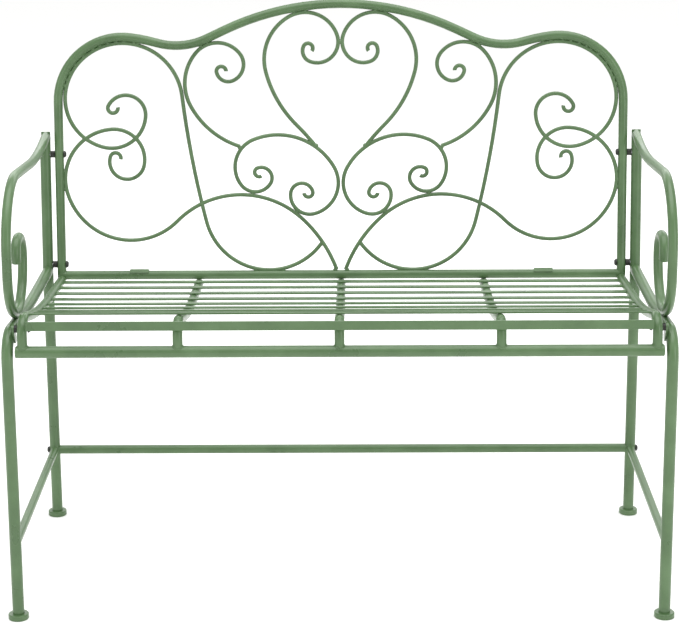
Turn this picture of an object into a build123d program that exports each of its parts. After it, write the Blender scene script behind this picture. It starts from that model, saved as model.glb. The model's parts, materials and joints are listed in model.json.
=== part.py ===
"""Two-seat tubular steel garden bench with a scrollwork back, bolted together from welded frames."""
from build123d import *
from math import atan2, cos, degrees, radians, sin
import os

# ---- driving dimensions, millimetres ----
leg_span = 1050.0        # between the centres of the left and right legs
leg_depth = 455.0        # between the centres of the front and rear legs
front_y = -249.6         # front leg centres, with the origin under the middle of the bench
rear_y = front_y + leg_depth
leg_d = 19.0             # legs, arm posts and the lower front tube
frame_d = 16.0           # backrest frame, armrests, seat supports and the rear stretcher
side_stretcher_d = 14.0
rod_d = 7.0              # solid scroll rod
leg_wall = 1.2
frame_wall = 1.0

foot_d = 33.0
foot_h = 9.0
foot_floor = 3.0         # rubber under the tube

front_bend_z = 434.0     # the front leg turns back towards the seat here
front_bend_r = 42.0
rear_bend_z = 428.0      # the arm post starts to lean here
rear_bend_r = 120.0
back_lean = 6.0          # degrees
arm_post_top = 698.0
stretcher_z = 127.0
rear_stretcher_z = 126.0

back_base_z = 450.0      # height where the backrest plane starts
back_base_y = rear_y + (back_base_z - rear_bend_z) * sin(radians(back_lean)) * 0.75
rail_s = 5.0             # backrest bottom rail, up the backrest plane
post_foot_s = -3.0
crown_s = 487.0          # top of the backrest frame, up the backrest plane

front_tube_z = 452.0
front_tube_half = 509.5     # it stops short of the legs
support_x = (-500.0, -255.0, 0.0, 255.0, 500.0)
support_names = ("left_end", "left", "middle", "right", "right_end")
slat_w = 15.0
slat_t = 3.0
slat_half = 492.0        # the slats butt against the end supports
slat_count = 9
support_back = 6.0       # the inner supports run this far past the rear legs' centres
support_rear_z = 438.5
support_heading = 176.0
end_support_back = -7.0  # the end supports stop in front of the backrest posts
end_support_rear_z = 448.5
end_support_heading = 176.6
seat_flat_y = rear_y - 158.0    # where the seat starts to rise towards the front
seat_curve_r = 1300.0
seat_curve = -9.7
front_bend_of_seat = 24.0
slat_first = 38.0        # along the support, from its rear end
slat_pitch = 49.6
front_slat_z = 497.0
plug_t = 2.0             # end plugs of the front tube
tab_t = 3.0              # steel tabs that carry the seat at the front
tab_sink = 1.0           # how far a tab is let into the side of the leg
joining_tab_x = 361.0
joining_tab_length = 34.0
joining_tab_w = 10.0
joining_tab_t = 1.5
joining_tab_tilt = 22.0  # degrees, towards the front of the rail
joining_tab_sink = 1.0

bolt_d = 6.0
bolt_head_d = 12.0
bolt_head_h = 4.5
spacer_d = 12.0
bolt_rows = (25.0, 223.0)   # heights of the backrest bolts, up the backrest plane

# ---- reference planes ----
back_plane = Plane(
    origin=(0, back_base_y, back_base_z),
    x_dir=(1, 0, 0),
    z_dir=(0, -cos(radians(back_lean)), sin(radians(back_lean))),
)


def side_plane(x):
    """Upright plane across the bench: local x runs to the rear, local y runs up."""
    return Plane(origin=(x, 0, 0), x_dir=(0, 1, 0), z_dir=(1, 0, 0))


def bend(start, heading, steps):
    """Lines and tangent arcs, one after the other: (length, None) or (radius, turn to the left)."""
    x, y = start
    angle = radians(heading)
    for size, turn in steps:
        if turn is None:
            end = (x + size * cos(angle), y + size * sin(angle))
            Line((x, y), end)
            x, y = end
            continue
        hand = 1 if turn > 0 else -1
        JernArc((x, y), (cos(angle), sin(angle)), size, turn)
        centre = (x - hand * size * sin(angle), y + hand * size * cos(angle))
        angle += radians(turn)
        x = centre[0] + hand * size * sin(angle)
        y = centre[1] - hand * size * cos(angle)


def bent_tube(plane, start, heading, steps, diameter, wall=0.0):
    """A round tube, or a solid bar where wall is 0, swept along one flat run of bends."""
    with BuildPart() as tube:
        with BuildLine(plane) as route:
            bend(start, heading, steps)
        with BuildSketch(Plane(origin=route.line @ 0, z_dir=route.line % 0)):
            Circle(diameter / 2)
            if wall:
                Circle(diameter / 2 - wall, mode=Mode.SUBTRACT)
        sweep(path=route.line)
    return tube.part


def straight_tube(start, end, diameter, wall=0.0):
    """A straight tube between two points."""
    run = Vector(*end) - Vector(*start)
    with BuildPart() as tube:
        with BuildSketch(Plane(origin=start, z_dir=run)):
            Circle(diameter / 2)
            if wall:
                Circle(diameter / 2 - wall, mode=Mode.SUBTRACT)
        extrude(amount=run.length)
    return tube.part


def finish(name, solid, *cutters):
    """Cuts the neighbours' shapes out of one piece, labels it and writes it."""
    with BuildPart() as piece:
        add(solid)
        for cutter in cutters:
            add(cutter, mode=Mode.SUBTRACT)
    piece.part.label = name
    export_step(piece.part, f"parts/{name}.step")
    return piece.part


def mirrored(solid):
    """The same shape on the other side of the bench."""
    with BuildPart() as twin:
        mirror(solid, about=Plane.YZ)
    return twin.part


def both_sides(name, solid, *cutters):
    """Writes a left piece and its right twin."""
    left = finish(f"{name}_left", solid, *cutters)
    finish(f"{name}_right", mirrored(left))
    return left


def cross_bores(places, diameter, length):
    """Round cutters along X, centred on each place."""
    with BuildPart() as bores:
        with Locations(*places):
            Cylinder(diameter / 2, length, rotation=(0, 90, 0))
    return bores.part


def run_end(start, heading, steps):
    """Where a run of bends ends."""
    x, y = start
    angle = radians(heading)
    for size, turn in steps:
        if turn is None:
            x += size * cos(angle)
            y += size * sin(angle)
            continue
        hand = 1 if turn > 0 else -1
        x -= hand * size * sin(angle)
        y += hand * size * cos(angle)
        angle += radians(turn)
        x += hand * size * sin(angle)
        y -= hand * size * cos(angle)
    return x, y


os.makedirs("parts", exist_ok=True)
leg_x = leg_span / 2
crown_half = [(480, 25), (37, None), (125, -40.5), (4, None), (320, 8), (115, 97.5)]
shoulder_x, shoulder_s = run_end((0, crown_s), 180, crown_half)
post_x = -shoulder_x
post_run = shoulder_s - post_foot_s
left_side = side_plane(-leg_x)


def on_back(x, s):
    """A point of the backrest plane."""
    return tuple(back_plane.from_local_coords((x, s, 0)))


# ---- side frames ----
leg_start = foot_floor
front_leg_route = (
    (front_y, leg_start),
    90,
    [
        (front_bend_z - leg_start, None),
        (front_bend_r, -94),
        (150, None),
        (800, 4),
        (205, None),
    ],
)
rear_leg_route = (
    (rear_y, leg_start),
    90,
    [
        (rear_bend_z - leg_start, None),
        (rear_bend_r, -back_lean),
        ((arm_post_top - rear_bend_z - rear_bend_r * 0.1) / cos(radians(back_lean)), None),
    ],
)
armrest_route = (
    (front_y + 492, 702),
    189,
    [
        (25, None),
        (700, -14),
        (146, None),
        (108, 95),
        (33, None),
        (77, 178),
        (38, 112),
        (23, 95),
    ],
)
rear_leg_solid = bent_tube(left_side, *rear_leg_route, leg_d)
front_leg_solid = bent_tube(left_side, *front_leg_route, leg_d)
armrest_solid = bent_tube(left_side, *armrest_route, frame_d)

back_bolt_places = [on_back(-post_x, s) for s in bolt_rows]
rear_bolt_place = (-leg_x, rear_y, rear_stretcher_z)
front_seat_bolt = (-leg_x, front_y + 11, 487.0)
arm_post_bores = cross_bores(
    [(-leg_x + leg_d / 2, y, z) for _, y, z in back_bolt_places], bolt_d + 3, leg_d
)
stretcher_bore = cross_bores([rear_bolt_place], bolt_d + 0.5, leg_d + 2)

rear_leg = both_sides(
    "rear_leg",
    bent_tube(left_side, *rear_leg_route, leg_d, leg_wall),
    armrest_solid,
    arm_post_bores,
    stretcher_bore,
)
front_leg = both_sides(
    "front_leg",
    bent_tube(left_side, *front_leg_route, leg_d, leg_wall),
    rear_leg_solid,
)
both_sides(
    "armrest",
    bent_tube(left_side, *armrest_route, frame_d, frame_wall),
    front_leg_solid,
)
side_stretcher_ends = ((-leg_x, front_y, stretcher_z), (-leg_x, rear_y, stretcher_z))
side_stretcher_solid = straight_tube(*side_stretcher_ends, side_stretcher_d)
both_sides(
    "side_stretcher",
    straight_tube(*side_stretcher_ends, side_stretcher_d, frame_wall),
    front_leg_solid,
    rear_leg_solid,
)

with BuildPart() as end_plate:
    with BuildSketch(left_side):
        with Locations((front_y + 493, 702.2)):
            Rectangle(2, frame_d, rotation=9)
    extrude(amount=frame_d / 2, both=True)
both_sides("armrest_end_plate", end_plate.part, armrest_solid, rear_leg_solid)

# ---- feet ----
with BuildPart() as foot:
    with BuildSketch(Plane.XY):
        Circle(foot_d / 2)
    extrude(amount=foot_h)
    fillet(foot.edges().sort_by(Axis.Z)[-1], 2.0)
    chamfer(foot.edges().sort_by(Axis.Z)[0], 0.8)
    with BuildSketch(Plane.XY.offset(foot_floor)):
        Circle(leg_d / 2)
    extrude(amount=foot_h, mode=Mode.SUBTRACT)
for foot_name, foot_y in (("front", front_y), ("rear", rear_y)):
    with BuildPart() as placed_foot:
        with Locations((-leg_x, foot_y, 0)):
            add(foot.part)
    both_sides(f"foot_{foot_name}", placed_foot.part)

# ---- rear stretcher and its bolts ----
inner_leg_x = leg_x - leg_d / 2
finish(
    "rear_stretcher",
    straight_tube(
        (-leg_x, rear_y, rear_stretcher_z), (leg_x, rear_y, rear_stretcher_z), frame_d, frame_wall
    ),
    rear_leg_solid,
    mirrored(rear_leg_solid),
    side_stretcher_solid,
    mirrored(side_stretcher_solid),
)


def domed_bolt(place, direction, grip):
    """A round-headed bolt: the head's seat is at place, and the shank runs along X from there."""
    seat = Plane(origin=place, x_dir=(0, 1, 0), z_dir=(direction, 0, 0))
    with BuildPart() as bolt:
        with BuildSketch(seat):
            Circle(bolt_d / 2)
        extrude(amount=grip)
        with BuildSketch(seat):
            Circle(bolt_head_d / 2)
        extrude(amount=-bolt_head_h)
        rim = bolt.faces().sort_by(Axis.X)[0 if direction > 0 else -1].edges()
        fillet(rim, bolt_head_h * 0.8)
    return bolt.part


def left_and_right(name, *solids):
    """One node that holds separate identical pieces on both sides."""
    with BuildPart() as group:
        for solid in solids:
            add(solid)
            mirror(solid, about=Plane.YZ)
    group.part.label = name
    export_step(group.part, f"parts/{name}.step")


left_and_right(
    "stretcher_bolts",
    domed_bolt((-leg_x - leg_d / 2, rear_y, rear_stretcher_z), 1, leg_d + 22),
)
with BuildPart() as stretcher_nut:
    with BuildSketch(Plane((-inner_leg_x + 4, rear_y, rear_stretcher_z), z_dir=(1, 0, 0))):
        Circle(frame_d / 2 - frame_wall)
        Circle(bolt_d / 2, mode=Mode.SUBTRACT)
    extrude(amount=9)
left_and_right("stretcher_end_nuts", stretcher_nut.part)

# ---- backrest ----
half_back = crown_half + [(post_run, None)]
left_back_solid = bent_tube(back_plane, (0, crown_s), 180, half_back, frame_d)
left_back_tube = bent_tube(back_plane, (0, crown_s), 180, half_back, frame_d, frame_wall)
back_bores = cross_bores(back_bolt_places, bolt_d + 0.5, frame_d + 2)
with BuildPart() as back_tube:
    add(left_back_tube)
    add(back_bores, mode=Mode.SUBTRACT)
    mirror(back_tube.part, about=Plane.YZ)
finish("back_frame_tube", back_tube.part)

rail_y, rail_z = on_back(0, rail_s)[1:]
rail_solid = straight_tube((-post_x, rail_y, rail_z), (post_x, rail_y, rail_z), frame_d)
finish(
    "back_bottom_rail",
    straight_tube((-post_x, rail_y, rail_z), (post_x, rail_y, rail_z), frame_d, frame_wall),
    left_back_solid,
    mirrored(left_back_solid),
)


def scroll(start, heading, bends, diameter=rod_d):
    """A left-hand scroll rod in the backrest plane, kept to its own side of the middle."""
    rod = bent_tube(back_plane, start, heading, bends, diameter)
    with BuildPart() as trimmed:
        add(rod)
        add(left_back_solid, mode=Mode.SUBTRACT)
        add(rail_solid, mode=Mode.SUBTRACT)
        split(bisect_by=Plane.YZ, keep=Keep.BOTTOM)
    return trimmed.part


# each bend is (radius, turn to the left), from the rod's curled end onwards
ring_and_sweep = scroll(
    (-394.5, 306), -81,
    [(9, -217), (35, -156), (61, -100), (88, -87.5), (100, -38.5), (105, -123.5), (1750, 7.5),
     (115, 131)],
)
vine_route = (
    (-391, 213.5), 78,
    [(9.5, 173.5), (31, 187.5), (54, 104.5), (90, 103.5), (117, 118), (160, -87), (235, -28)],
)
ring_and_vine = scroll(*vine_route)
vine_clearance = scroll(*vine_route, rod_d + 0.06)
shoulder_scroll = scroll(
    (-202, 369), 90,
    [(8.5, 192), (21, 99), (31, 107), (50, 101), (84, 69.5), (150, 44)],
)
double_scroll = scroll(
    (-141, 182.5), -148,
    [(8, -191), (19, -145), (32, -111), (53, -103), (115, -82), (57, -105), (34, -112),
     (20, -158), (8, -188)],
)
heart_scroll = scroll(
    (-50, 404), 53,
    [(8.5, 192), (20, 95), (37, 129), (59, 101), (87, 74.5), (205, 30.5), (450, -6.5)],
)

# the lower rod runs through, and the upper one is cut and welded to it where they cross
both_sides("scroll_lower_ring", ring_and_vine)
upper_ring = both_sides("scroll_upper_ring", ring_and_sweep, vine_clearance)
double = both_sides("scroll_double", double_scroll, vine_clearance)
both_sides("scroll_shoulder", shoulder_scroll, upper_ring, double)
both_sides("scroll_heart", heart_scroll, double)

# ---- backrest bolts, spacers and threaded inserts ----
spacer_gap = leg_x - leg_d / 2 - (post_x + frame_d / 2)
bolts = []
spacers = []
inserts = []
for _, bolt_y, bolt_z in back_bolt_places:
    head_seat = (-post_x + frame_d / 2, bolt_y, bolt_z)
    bolts.append(domed_bolt(head_seat, -1, frame_d + spacer_gap + 14))
    with BuildPart() as spacer:
        with BuildSketch(Plane((-post_x - frame_d / 2, bolt_y, bolt_z), z_dir=(-1, 0, 0))):
            Circle(spacer_d / 2)
            Circle(bolt_d / 2, mode=Mode.SUBTRACT)
        extrude(amount=spacer_gap)
    spacers.append(spacer.part)
    with BuildPart() as insert:
        with BuildSketch(Plane((-leg_x + leg_d / 2 - 0.2, bolt_y, bolt_z), z_dir=(-1, 0, 0))):
            Circle((bolt_d + 3) / 2)
            Circle(bolt_d / 2, mode=Mode.SUBTRACT)
        extrude(amount=10)
    inserts.append(insert.part)
left_and_right("back_bolts", *bolts)
left_and_right("back_spacers", *spacers)
left_and_right("back_threaded_inserts", *inserts)

# ---- seat ----
def support_route(rear_end, heading):
    """From a support's rear end, over the seat's front edge and down to the front tube."""
    start = (rear_y + rear_end[0], rear_end[1])
    flat = (start[0] - seat_flat_y) / -cos(radians(heading))
    rising = heading + seat_curve
    hook = 270 - rising
    steps = [(flat, None), (seat_curve_r, seat_curve), (front_bend_of_seat, hook)]
    short_y, _ = run_end(start, heading, steps)
    steps.insert(2, ((front_y - short_y) / cos(radians(rising)), None))
    _, drop_z = run_end(start, heading, steps)
    steps.append((drop_z - front_tube_z, None))
    return start, heading, steps


inner_route = support_route((support_back, support_rear_z), support_heading)
end_route = support_route((end_support_back, end_support_rear_z), end_support_heading)
front_tube_ends = (
    (-front_tube_half, front_y, front_tube_z),
    (front_tube_half, front_y, front_tube_z),
)
front_tube_solid = straight_tube(*front_tube_ends, leg_d)
finish("seat_front_tube", straight_tube(*front_tube_ends, leg_d, leg_wall))
with BuildPart() as plug:
    with BuildSketch(Plane((-front_tube_half, front_y, front_tube_z), z_dir=(-1, 0, 0))):
        Circle(leg_d / 2)
    extrude(amount=plug_t)
    fillet(plug.faces().sort_by(Axis.X)[0].edges(), plug_t * 0.8)
left_and_right("front_tube_plugs", plug.part)
seat_bolt_holes = cross_bores(
    [(side * support_x[-1], *front_seat_bolt[1:]) for side in (-1, 1)],
    bolt_d + 0.5,
    frame_d + 2,
)
for support_name, x in zip(support_names, support_x):
    route = end_route if abs(x) == support_x[-1] else inner_route
    finish(
        f"seat_support_{support_name}",
        bent_tube(side_plane(x), *route, frame_d, frame_wall),
        front_tube_solid,
        seat_bolt_holes,
    )

with BuildLine(side_plane(0)) as support_line:
    bend(*inner_route)
support_wire = support_line.wires()[0]


def slat(plane):
    """A flat bar with eased edges, running the whole width of the seat."""
    with BuildPart() as bar:
        with BuildSketch(plane):
            RectangleRounded(slat_w, slat_t, 0.8)
        extrude(amount=slat_half, both=True)
    return bar.part


for index in range(slat_count):
    reach = slat_first + index * slat_pitch
    centre = support_wire.position_at(reach, position_mode=PositionMode.LENGTH)
    along = support_wire.tangent_at(reach, position_mode=PositionMode.LENGTH)
    up = Vector(0, along.Z, -along.Y)
    slat_centre = centre + up * (frame_d / 2 + slat_t / 2 + 0.1)
    finish(
        f"seat_slat_{index + 1}",
        slat(Plane(origin=slat_centre, x_dir=along, z_dir=(1, 0, 0))),
    )
front_slat_plane = Plane(
    origin=(0, front_y - frame_d / 2 - slat_t / 2, front_slat_z), x_dir=(0, 0, 1), z_dir=(1, 0, 0)
)
finish("seat_front_slat", slat(front_slat_plane))

# ---- seat fastenings ----
tab_facing = radians(joining_tab_tilt)
with BuildPart() as tab:
    with BuildSketch(
        Plane(
            origin=(-joining_tab_x, rail_y, rail_z),
            x_dir=(1, 0, 0),
            z_dir=(0, -sin(tab_facing), cos(tab_facing)),
        ).offset(frame_d / 2 - joining_tab_sink)
    ):
        RectangleRounded(joining_tab_length, joining_tab_w, joining_tab_w / 5)
    extrude(amount=joining_tab_t + joining_tab_sink)
both_sides("joining_tab", tab.part, rail_solid)

seat_gap = leg_x - leg_d / 2 - (support_x[-1] + frame_d / 2)


def seat_fixing(place, shank, collar_length):
    """The bolt through an end support at place, and the spacer beside the support."""
    _, y, z = place
    bolt = domed_bolt((frame_d / 2 - support_x[-1], y, z), -1, frame_d + shank)
    with BuildPart() as collar:
        with BuildSketch(Plane((-support_x[-1] - frame_d / 2, y, z), z_dir=(-1, 0, 0))):
            Circle(spacer_d / 2)
            Circle(bolt_d / 2, mode=Mode.SUBTRACT)
        extrude(amount=collar_length)
    return bolt, collar.part


front_gap = seat_gap + tab_sink - tab_t
front_bolt, front_spacer = seat_fixing(front_seat_bolt, front_gap + tab_t + 1.0, front_gap)
left_and_right("seat_bolts", front_bolt)
left_and_right("seat_spacers", front_spacer)

tab_run = Vector(12.0, -20.0)
tab_middle = Vector(*front_seat_bolt[1:]) + tab_run / 2
with BuildPart() as seat_tab:
    with BuildSketch(side_plane(-leg_x + leg_d / 2 - tab_sink)):
        with Locations(tab_middle):
            SlotCenterToCenter(tab_run.length, 14, rotation=degrees(atan2(tab_run.Y, tab_run.X)))
        with Locations(front_seat_bolt[1:]):
            Circle(bolt_d / 2, mode=Mode.SUBTRACT)
    extrude(amount=tab_t)
    add(front_leg_solid, mode=Mode.SUBTRACT)
left_and_right("seat_mount_tabs", seat_tab.part)
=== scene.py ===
import json
import math

import bmesh
import bpy
from mathutils import Matrix, Vector
from mathutils.bvhtree import BVHTree


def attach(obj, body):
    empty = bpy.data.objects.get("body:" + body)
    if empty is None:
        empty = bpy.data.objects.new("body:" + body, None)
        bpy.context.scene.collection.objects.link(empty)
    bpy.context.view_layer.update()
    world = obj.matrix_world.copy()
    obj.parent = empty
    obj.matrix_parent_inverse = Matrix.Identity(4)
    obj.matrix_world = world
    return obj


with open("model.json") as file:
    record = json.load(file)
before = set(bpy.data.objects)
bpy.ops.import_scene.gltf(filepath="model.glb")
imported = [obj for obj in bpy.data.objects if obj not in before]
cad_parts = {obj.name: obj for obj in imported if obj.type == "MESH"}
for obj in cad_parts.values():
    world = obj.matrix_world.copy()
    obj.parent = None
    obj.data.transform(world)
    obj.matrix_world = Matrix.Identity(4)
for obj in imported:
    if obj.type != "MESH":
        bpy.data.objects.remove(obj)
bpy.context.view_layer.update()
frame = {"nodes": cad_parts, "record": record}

mm = 0.001
nodes = frame["nodes"]
print("frame loaded:", len(nodes), "nodes")


# colours are written as sRGB hex and used as linear values
def linear(hexColour):
    channels = [int(hexColour[i:i + 2], 16) / 255 for i in (1, 3, 5)]
    curve = [c / 12.92 if c <= 0.04045 else ((c + 0.055) / 1.055) ** 2.4 for c in channels]
    return (*curve, 1.0)


# adds one node, sets its inputs and links the sockets given as (node, output name)
def addNode(tree, kind, inputs=None, **settings):
    node = tree.nodes.new(kind)
    for name, value in settings.items():
        setattr(node, name, value)
    for name, value in (inputs or {}).items():
        if isinstance(value, tuple) and isinstance(value[0], bpy.types.Node):
            tree.links.new(value[0].outputs[value[1]], node.inputs[name])
        else:
            node.inputs[name].default_value = value
    return node


def newMaterial(name):
    material = bpy.data.materials.new(name)
    material.use_nodes = True
    tree = material.node_tree
    return material, tree, tree.nodes["Principled BSDF"]


# powder coat on steel tube: sprayed polyester powder, baked, so a smooth half-gloss skin
# with a fine orange peel and no metal showing
powderCoat = {
    "colour": "#4F6B45",
    "paleColour": "#58744E",    # where the coat is a little thinner and dustier
    "deepColour": "#48633F",
    "cloudSize": 60,            # mm, slow change of tone along the tubes
    "peelSize": 2.4,            # mm, drawn coarser than the real 1 mm so that it shows
    "peelHeight": 0.03,         # mm
    "speckSize": 0.5,           # mm, powder grain
    "roughness": (0.26, 0.36),
    "toneStops": (0.3, 0.5, 0.72),      # where the deep, plain and pale colours sit in the clouds
    "grainShade": (0.94, 1.05),
    "specular": 0.5,
    "ior": 1.5,
}


def makePowderCoat(values):
    material, tree, shader = newMaterial("powderCoat")
    place = addNode(tree, "ShaderNodeTexCoord")
    clouds = addNode(
        tree, "ShaderNodeTexNoise",
        {
            "Vector": (place, "Object"), "Scale": 1 / (values["cloudSize"] * mm),
            "Detail": 4.0, "Roughness": 0.55,
        },
    )
    tones = addNode(tree, "ShaderNodeValToRGB", {"Fac": (clouds, "Fac")})
    ramp = tones.color_ramp
    deepStop, plainStop, paleStop = values["toneStops"]
    ramp.elements[0].position = deepStop
    ramp.elements[0].color = linear(values["deepColour"])
    ramp.elements[1].position = paleStop
    ramp.elements[1].color = linear(values["paleColour"])
    middle = ramp.elements.new(plainStop)
    middle.color = linear(values["colour"])
    specks = addNode(
        tree, "ShaderNodeTexNoise",
        {"Vector": (place, "Object"), "Scale": 1 / (values["speckSize"] * mm), "Detail": 1.0},
    )
    grain = addNode(
        tree, "ShaderNodeMapRange",
        {
            "Value": (specks, "Fac"), "From Min": 0.3, "From Max": 0.7,
            "To Min": values["grainShade"][0], "To Max": values["grainShade"][1],
        },
    )
    # on a colour mix the factor is input 0, and the two colours are inputs 6 and 7
    shade = addNode(tree, "ShaderNodeMix", data_type="RGBA", blend_type="MULTIPLY")
    shade.inputs[0].default_value = 1.0
    tree.links.new(tones.outputs["Color"], shade.inputs[6])
    tree.links.new(grain.outputs["Result"], shade.inputs[7])
    tree.links.new(shade.outputs[2], shader.inputs["Base Color"])
    low, high = values["roughness"]
    gloss = addNode(
        tree, "ShaderNodeMapRange",
        {"Value": (clouds, "Fac"), "From Min": 0.3, "From Max": 0.7, "To Min": low, "To Max": high},
    )
    tree.links.new(gloss.outputs["Result"], shader.inputs["Roughness"])
    peel = addNode(
        tree, "ShaderNodeTexNoise",
        {
            "Vector": (place, "Object"), "Scale": 1 / (values["peelSize"] * mm),
            "Detail": 2.0, "Roughness": 0.4,
        },
    )
    bump = addNode(
        tree, "ShaderNodeBump",
        {"Height": (peel, "Fac"), "Distance": values["peelHeight"] * mm, "Strength": 1.0},
    )
    tree.links.new(bump.outputs["Normal"], shader.inputs["Normal"])
    shader.inputs["IOR"].default_value = values["ior"]
    shader.inputs["Specular IOR Level"].default_value = values["specular"]
    return material


# moulded black nylon: matt with a faint mould grain
blackNylon = {"colour": "#15170F", "roughness": 0.5, "grainSize": 0.6, "grainHeight": 0.02}
# black oxide on a bolt head: dark, a little oily
boltBlack = {"colour": "#20241E", "roughness": 0.34, "grainSize": 0.8, "grainHeight": 0.01}
# zinc plate on nuts and inserts: pale grey metal
zincPlate = {"colour": "#B9BCBD", "roughness": 0.3, "grainSize": 0.7, "grainHeight": 0.01, "metallic": 1.0}


def makeFitting(name, values):
    material, tree, shader = newMaterial(name)
    place = addNode(tree, "ShaderNodeTexCoord")
    grain = addNode(
        tree, "ShaderNodeTexNoise",
        {"Vector": (place, "Object"), "Scale": 1 / (values["grainSize"] * mm), "Detail": 2.0},
    )
    bump = addNode(
        tree, "ShaderNodeBump",
        {"Height": (grain, "Fac"), "Distance": values["grainHeight"] * mm, "Strength": 1.0},
    )
    gloss = addNode(
        tree, "ShaderNodeMapRange",
        {
            "Value": (grain, "Fac"), "From Min": 0.3, "From Max": 0.7,
            "To Min": values["roughness"] - 0.05, "To Max": values["roughness"] + 0.08,
        },
    )
    tree.links.new(bump.outputs["Normal"], shader.inputs["Normal"])
    tree.links.new(gloss.outputs["Result"], shader.inputs["Roughness"])
    shader.inputs["Base Color"].default_value = linear(values["colour"])
    shader.inputs["Metallic"].default_value = values.get("metallic", 0.0)
    return material


finishes = {
    "green_coat": makePowderCoat(powderCoat),
    "black_plastic": makeFitting("blackNylon", blackNylon),
    "dark_bolt": makeFitting("boltBlack", boltBlack),
    "bare_steel": makeFitting("zincPlate", zincPlate),
}
finishes["foot_rubber"] = finishes["green_coat"]
slotOf = {part["node"]: part["material_slot"] for part in frame["record"]["subparts"]}
for name, node in nodes.items():
    node.data.materials.clear()
    node.data.materials.append(finishes[slotOf[name]])
print("finishes on", len(nodes), "nodes")


# fillet welds where a tube's end meets the side of another tube; lengths in mm
tubeWelds = {
    "bead": 1.3,
    "ripple": 0.16,         # share of the bead's radius
    "rippleStep": 2.6,      # radians of ripple from one step to the next
    "steps": 36,
    "sides": 8,
    "legX": 525,
    "frontY": -249.6,
    "rearY": 205.4,
    "stretcherZ": 127,
    "stretcherRadii": (7, 9.5),     # of the stretcher and of the leg
    "supportX": (-500, -255, 0, 255, 500),
    "frontTubeZ": 452,
    "supportRadii": (8, 9.5),       # of the support and of the front tube
}


# each joint: where the centre lines meet, way the tube leaves, way the other one runs, radii
def listJoints(values):
    joints = []
    for y, way in ((values["frontY"], 1), (values["rearY"], -1)):
        for x in (-values["legX"], values["legX"]):
            joints.append(((x, y, values["stretcherZ"]), (0, way, 0), (0, 0, 1), values["stretcherRadii"]))
    for x in values["supportX"]:
        place = (x, values["frontY"], values["frontTubeZ"])
        joints.append((place, (0, 0, 1), (1, 0, 0), values["supportRadii"]))
    return joints


def makeRing(mesh, values, middle, leaves, runs, radii):
    middle, leaves, runs = Vector(middle), Vector(leaves), Vector(runs)
    side = leaves.cross(runs)
    thin, thick = radii
    points = []
    for k in range(values["steps"]):
        turn = math.tau * k / values["steps"]
        reach = math.sqrt(thick ** 2 - (thin * math.cos(turn)) ** 2)
        points.append(middle + thin * (math.cos(turn) * side + math.sin(turn) * runs) + reach * leaves)
    loops = []
    for k, point in enumerate(points):
        along = points[(k + 1) % len(points)] - points[k - 1]
        size = values["bead"] * (1 + values["ripple"] * math.sin(k * values["rippleStep"]))
        spot = Matrix.Translation(point * mm) @ along.to_track_quat("Z", "Y").to_matrix().to_4x4()
        made = bmesh.ops.create_circle(mesh, segments=values["sides"], radius=size * mm, matrix=spot)
        loops.append(list({edge for vert in made["verts"] for edge in vert.link_edges}))
    for k, loop in enumerate(loops):
        bmesh.ops.bridge_loops(mesh, edges=loops[k - 1] + loop)


def addPiece(mesh, name, material):
    data = bpy.data.meshes.new(name)
    bmesh.ops.recalc_face_normals(mesh, faces=mesh.faces)
    for face in mesh.faces:
        face.smooth = True
    mesh.to_mesh(data)
    mesh.free()
    data.materials.append(material)
    piece = bpy.data.objects.new(name, data)
    bpy.context.scene.collection.objects.link(piece)
    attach(piece, "root")
    return piece


beads = bmesh.new()
joints = listJoints(tubeWelds)
for joint in joints:
    makeRing(beads, tubeWelds, *joint)
addPiece(beads, "tubeWeldBeads", finishes["green_coat"])
print("tube welds:", len(joints))


# small welds where a scroll rod touches its neighbours, found from the shapes themselves
rodWelds = {
    "touch": 0.25,      # mm between surfaces that counts as touching
    "spread": 14,       # mm, touching points closer than this are one weld
    "radius": 3.9,      # mm
    "flatten": 0.92,    # across the rods' plane
    "fewest": 3,        # touching points that make a weld
}


def findTouches(values):
    frameNames = ("back_frame_tube", "back_bottom_rail")
    backNames = [n for n in nodes if n.startswith("scroll_") or n in frameNames]
    trees = {}
    for name in backNames:
        shape = bmesh.new()
        shape.from_mesh(nodes[name].data)
        shape.transform(nodes[name].matrix_world)
        trees[name] = (BVHTree.FromBMesh(shape), [v.co.copy() for v in shape.verts])
        shape.free()
    spots = []
    for first in backNames:
        if not first.startswith("scroll_"):
            continue
        for second in backNames:
            if second == first:
                continue
            for point in trees[first][1]:
                near = trees[second][0].find_nearest(point, values["touch"] * mm)
                if near[0] is None:
                    continue
                spread = values["spread"] * mm
                group = next((g for g in spots if (g[0] - point).length < spread), None)
                if group:
                    group.append(point)
                else:
                    spots.append([point])
    return [sum(group, Vector()) / len(group) for group in spots if len(group) >= values["fewest"]]


blobs = bmesh.new()
touches = findTouches(rodWelds)
for touch in touches:
    bmesh.ops.create_icosphere(
        blobs, subdivisions=3, radius=rodWelds["radius"] * mm,
        matrix=Matrix.Translation(touch) @ Matrix.Diagonal((1, rodWelds["flatten"], 1, 1)),
    )
addPiece(blobs, "rodWeldBeads", finishes["green_coat"])
print("rod welds:", len(touches))


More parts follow.
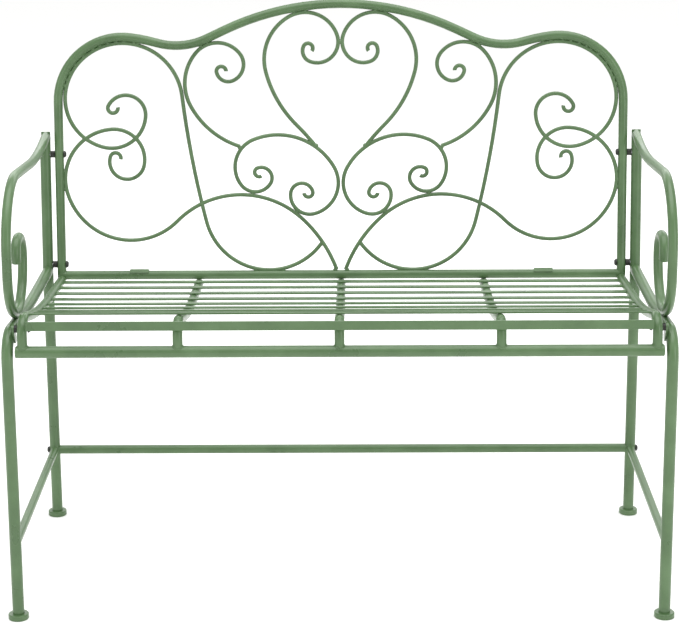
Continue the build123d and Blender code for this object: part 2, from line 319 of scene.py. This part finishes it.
studio = {
    "floorColour": "#FBFBFA",
    "floorSize": 60.0,
    "floorRoughness": 0.9,
    "floorSpecular": 0.1,
    "worldColour": "#FFFFFF",
    "worldStrength": 0.72,
    "lights": {     # name: (place, aimed at, width, height, watts)
        "top": ((0.2, -0.4, 3.8), (0, 0, 0.4), 4.5, 3.5, 95),
        "behind": ((0.0, 3.4, 2.3), (0, 0, 0.5), 5.0, 1.5, 55),
        "leftStrip": ((-2.8, -2.0, 1.4), (0, 0, 0.5), 0.35, 2.2, 13),
        "rightStrip": ((2.4, -2.6, 1.4), (0, 0, 0.5), 0.35, 2.2, 24),
    },
    "sunStrength": 0.9,
    "sunAngle": 60,     # degrees across, so it lifts the whole floor without a shadow edge
}


def makeStudio(values):
    mesh = bmesh.new()
    bmesh.ops.create_grid(mesh, x_segments=1, y_segments=1, size=values["floorSize"] / 2)
    data = bpy.data.meshes.new("floor")
    mesh.to_mesh(data)
    mesh.free()
    floor = bpy.data.objects.new("floor", data)
    bpy.context.scene.collection.objects.link(floor)
    material, tree, shader = newMaterial("floorPaper")
    shader.inputs["Base Color"].default_value = linear(values["floorColour"])
    shader.inputs["Roughness"].default_value = values["floorRoughness"]
    shader.inputs["Specular IOR Level"].default_value = values["floorSpecular"]
    data.materials.append(material)
    world = bpy.data.worlds.new("studio")
    bpy.context.scene.world = world
    world.use_nodes = True
    back = world.node_tree.nodes["Background"]
    back.inputs["Color"].default_value = linear(values["worldColour"])
    back.inputs["Strength"].default_value = values["worldStrength"]
    for name, (place, aim, width, height, watts) in values["lights"].items():
        light = bpy.data.lights.new(name, "AREA")
        light.shape = "RECTANGLE"
        light.size = width
        light.size_y = height
        light.energy = watts
        lamp = bpy.data.objects.new(name, light)
        lamp.location = place
        lamp.rotation_euler = (Vector(aim) - Vector(place)).to_track_quat("-Z", "Y").to_euler()
        bpy.context.scene.collection.objects.link(lamp)
    sun = bpy.data.lights.new("sun", "SUN")
    sun.energy = values["sunStrength"]
    sun.angle = math.radians(values["sunAngle"])
    sunLamp = bpy.data.objects.new("sun", sun)
    bpy.context.scene.collection.objects.link(sunLamp)


makeStudio(studio)
print("studio set")


view = {
    "place": (0.0262, -3.3657, 1.4124),   # metres
    "yaw": -0.462,                      # degrees, to the right
    "pitch": 13.633,                     # down
    "roll": -0.33,
    "lens": 109.52,                     # mm
    "sensor": 36,
    "farthest": 100,                    # metres
    "shift": -0.1296,
}


def makeCamera(values):
    data = bpy.data.cameras.new("camera")
    data.lens = values["lens"]
    data.sensor_width = values["sensor"]
    data.shift_y = values["shift"]
    data.clip_end = values["farthest"]
    camera = bpy.data.objects.new("camera", data)
    yaw, pitch, roll = (math.radians(values[k]) for k in ("yaw", "pitch", "roll"))
    forward = Vector((math.sin(yaw) * math.cos(pitch), math.cos(yaw) * math.cos(pitch), -math.sin(pitch)))
    right = Vector((math.cos(yaw), -math.sin(yaw), 0))
    up = right.cross(forward)
    rolledRight = math.cos(roll) * right + math.sin(roll) * up
    rolledUp = math.cos(roll) * up - math.sin(roll) * right
    turn = Matrix((rolledRight, rolledUp, -forward)).transposed()
    camera.matrix_world = Matrix.Translation(values["place"]) @ turn.to_4x4()
    bpy.context.scene.collection.objects.link(camera)
    bpy.context.scene.camera = camera


makeCamera(view)
bpy.context.scene.view_settings.view_transform = "Standard"
